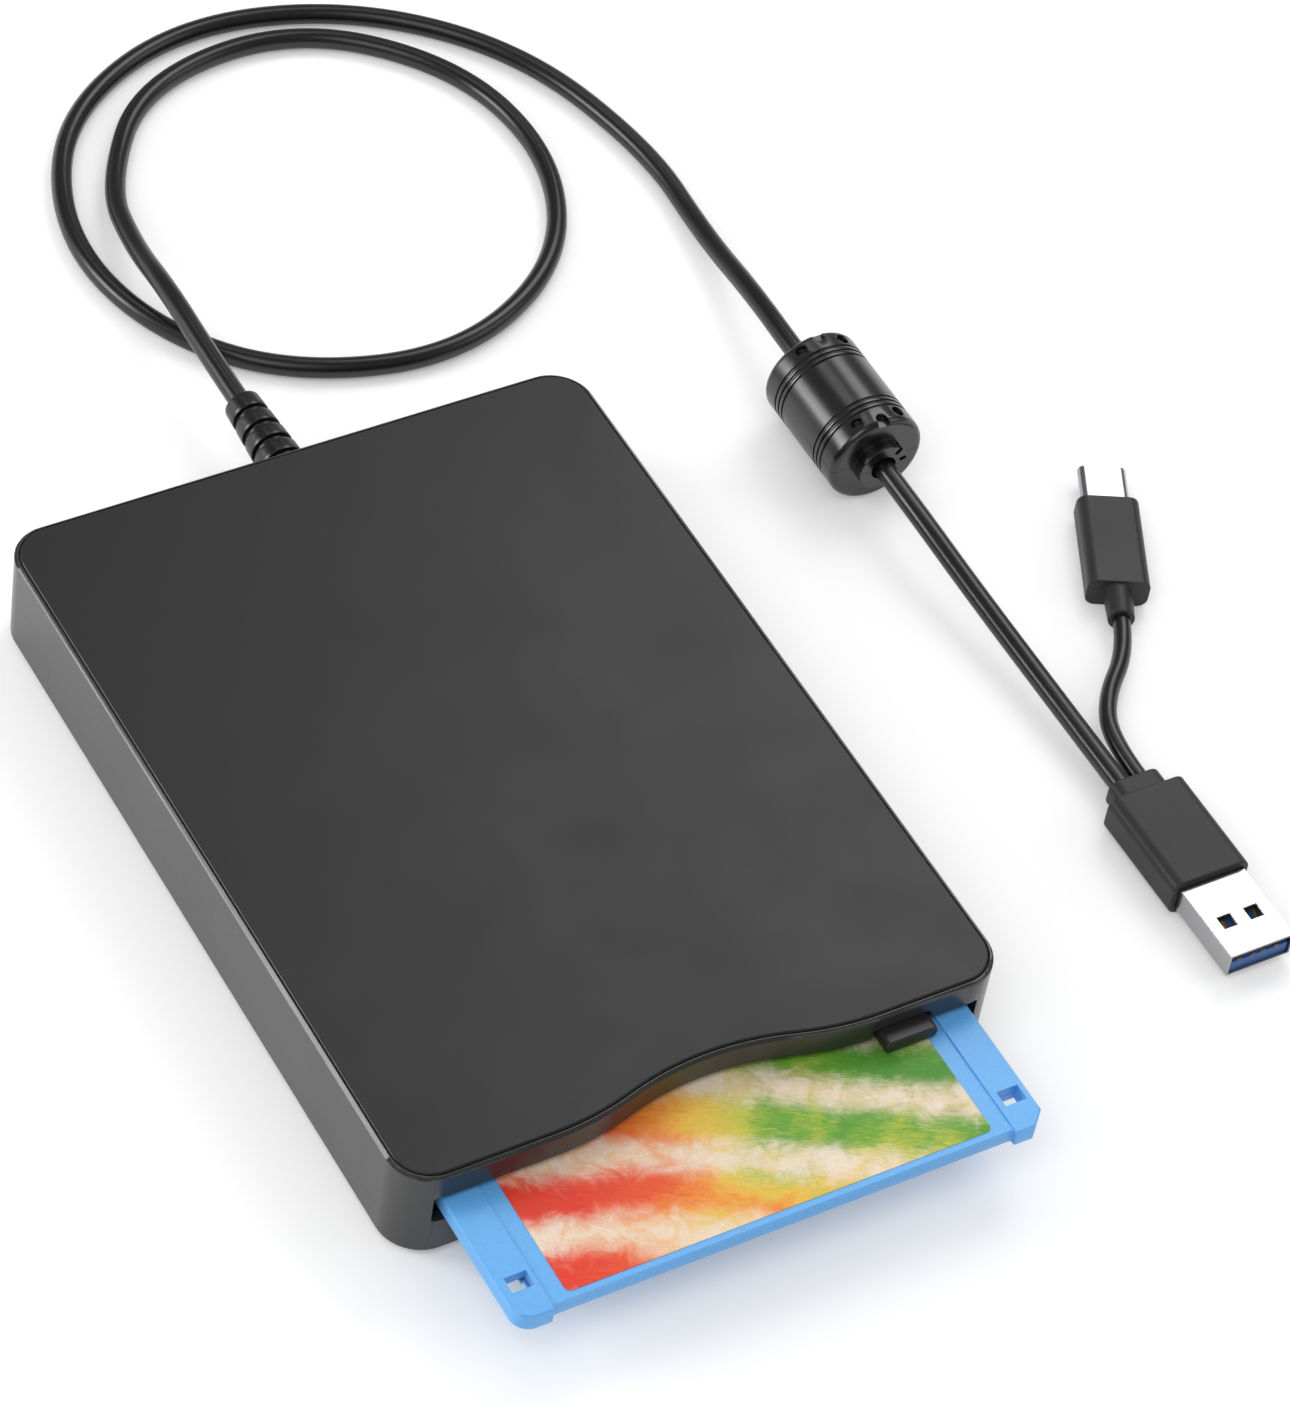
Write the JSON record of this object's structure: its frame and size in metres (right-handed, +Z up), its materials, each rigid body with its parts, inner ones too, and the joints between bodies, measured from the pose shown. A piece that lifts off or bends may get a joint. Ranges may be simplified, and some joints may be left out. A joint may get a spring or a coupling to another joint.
{
  "type": "external floppy disk drive",
  "caption": "Flat rounded case with a front slot, an eject button, a half-inserted 3.5 inch disk, and a USB cord with a moulded core and two plugs.",
  "frame": {"origin": "middle of the case's footprint, on the surface that the feet stand on", "axes": "+X to the right and +Y to the back, seen from the slot's side; +Z up. The disk leaves the slot towards -Y."},
  "size_m": [0.187, 0.2788, 0.0185],
  "materials": {
    "case_plastic": "fine-textured moulded ABS",
    "cover_plastic": "matte soft-touch moulded ABS",
    "button_plastic": "smooth moulded ABS",
    "disk_plastic": "satin moulded ABS",
    "label_paper": "printed coated paper",
    "tab_plastic": "moulded plastic",
    "shutter_metal": "brushed sheet",
    "hub_steel": "pressed sheet",
    "media_film": "coated polyester film",
    "liner_fleece": "non-woven fleece",
    "sheet_steel": "zinc-plated sheet",
    "shaft_steel": "ground",
    "screw_steel": "plated",
    "bearing_bronze": "sintered",
    "magnet_ferrite": "bonded ferrite",
    "coil_copper": "enamelled wire",
    "drive_plastic": "glass-filled moulding",
    "head_ceramic": "polished ceramic",
    "board_laminate": "solder-masked laminate",
    "chip_black": "moulded epoxy",
    "ribbon_film": "laminated flat cable",
    "spring_steel": "drawn wire",
    "foot_rubber": "moulded",
    "cord_jacket": "satin PVC jacket",
    "core_plastic": "moulded, fine-textured",
    "core_ferrite": "sintered ferrite",
    "overmould": "moulded PVC",
    "plug_steel": "nickel-plated sheet",
    "tongue_blue": "moulded",
    "tongue_black": "moulded"
  },
  "bodies": {
    "case": {"case_body": "case_plastic", "top_cover": "cover_plastic", "bottom_cover": "case_plastic", "rubber_feet": "foot_rubber", "case_screws": "screw_steel", "chassis_screws": "screw_steel", "drive_chassis": "sheet_steel", "spindle_stator": "board_laminate", "spindle_coils": "coil_copper", "spindle_bearing": "bearing_bronze", "guide_rod": "shaft_steel", "stepper_motor": "sheet_steel", "track_sensor": "chip_black", "control_board": "board_laminate", "controller_chips": "chip_black", "board_spacers": "drive_plastic", "usb_bridge_board": "board_laminate", "bridge_parts": "chip_black", "flat_cable": "ribbon_film", "inner_lead": "cord_jacket", "eject_springs": "spring_steel", "strain_relief": "cord_jacket", "usb_cord": "cord_jacket", "pigtail_cord": "cord_jacket", "core_case_lower": "core_plastic", "core_case_upper": "core_plastic", "ferrite_core": "core_ferrite", "usb_a_overmould": "overmould", "usb_a_shell": "plug_steel", "usb_a_tongue": "tongue_blue", "usb_c_overmould": "overmould", "usb_c_shell": "plug_steel", "usb_c_tongue": "tongue_black"},
    "eject_slide": {"eject_slide_plate": "sheet_steel", "eject_button": "button_plastic"},
    "disk_holder": {"holder_plate": "sheet_steel", "holder_rails": "sheet_steel", "holder_pins": "shaft_steel", "lever_pivot": "shaft_steel"},
    "lever": {"shutter_lever": "drive_plastic"},
    "disk": {"disk_top_shell": "disk_plastic", "disk_bottom_shell": "disk_plastic", "disk_label": "label_paper", "disk_liners": "liner_fleece"},
    "protect_tab": {"write_protect_tab": "tab_plastic"},
    "shutter": {"disk_shutter": "shutter_metal"},
    "media": {"disk_media": "media_film", "disk_hub": "hub_steel"},
    "spindle": {"spindle_rotor": "sheet_steel", "rotor_magnet": "magnet_ferrite", "spindle_shaft": "shaft_steel", "drive_pin": "shaft_steel"},
    "carriage": {"head_carriage": "drive_plastic", "lower_head": "head_ceramic", "arm_pivot_pin": "shaft_steel"},
    "head_arm": {"head_arm": "drive_plastic", "upper_head": "head_ceramic"},
    "lead_screw": {"lead_screw": "shaft_steel"}
  },
  "joints": [
    {"name": "eject_slide", "type": "slide", "parent": "case", "child": "eject_slide", "axis": [0, -1, 0], "range_m": [-0.0008, 0.006], "deforming": ["eject_springs"]},
    {"name": "holder_drop", "type": "slide", "parent": "case", "child": "disk_holder", "axis": [0, 0, -1], "range_m": [-0.00017, 0.00121]},
    {"name": "disk_slide", "type": "slide", "parent": "disk_holder", "child": "disk", "axis": [0, 1, 0], "range_m": [-0.075, 0.025]},
    {"name": "shutter_slide", "type": "slide", "parent": "disk", "child": "shutter", "axis": [1, 0, 0], "range_m": [0, 0.017], "stiffness_N_per_m": 10},
    {"name": "tab_slide", "type": "slide", "parent": "disk", "child": "protect_tab", "axis": [0, -1, 0], "range_m": [0, 0.003]},
    {"name": "media_spin", "type": "hinge", "parent": "disk", "child": "media", "pos_m": [0, -0.0445, 0.011], "axis": [0, 0, 1], "continuous": true},
    {"name": "lever_swing", "type": "hinge", "parent": "disk_holder", "child": "lever", "pos_m": [0.04, 0.016, 0.0137], "axis": [0, 0, -1], "range_deg": [0, 44], "stiffness_Nm_per_rad": 0.002},
    {"name": "spindle_spin", "type": "hinge", "parent": "case", "child": "spindle", "pos_m": [0, -0.0195, 0.006], "axis": [0, 0, 1], "continuous": true},
    {"name": "carriage_slide", "type": "slide", "parent": "case", "child": "carriage", "axis": [0, -1, 0], "range_m": [0, 0.0148]},
    {"name": "arm_lift", "type": "hinge", "parent": "carriage", "child": "head_arm", "pos_m": [0, 0.05, 0.0147], "axis": [1, 0, 0], "range_deg": [-0.75, 5.35]},
    {"name": "screw_turn", "type": "hinge", "parent": "case", "child": "lead_screw", "pos_m": [0.017, 0.04, 0.0086], "axis": [0, 1, 0], "range_deg": [-1, 1780]}
  ],
  "couplings": [
    {"joint": "holder_drop", "follows": "eject_slide", "ratio": 0.2},
    {"joint": "arm_lift", "follows": "eject_slide", "rad_per_m": 15.417},
    {"joint": "screw_turn", "follows": "carriage_slide", "rad_per_m": 2094.4}
  ]
}
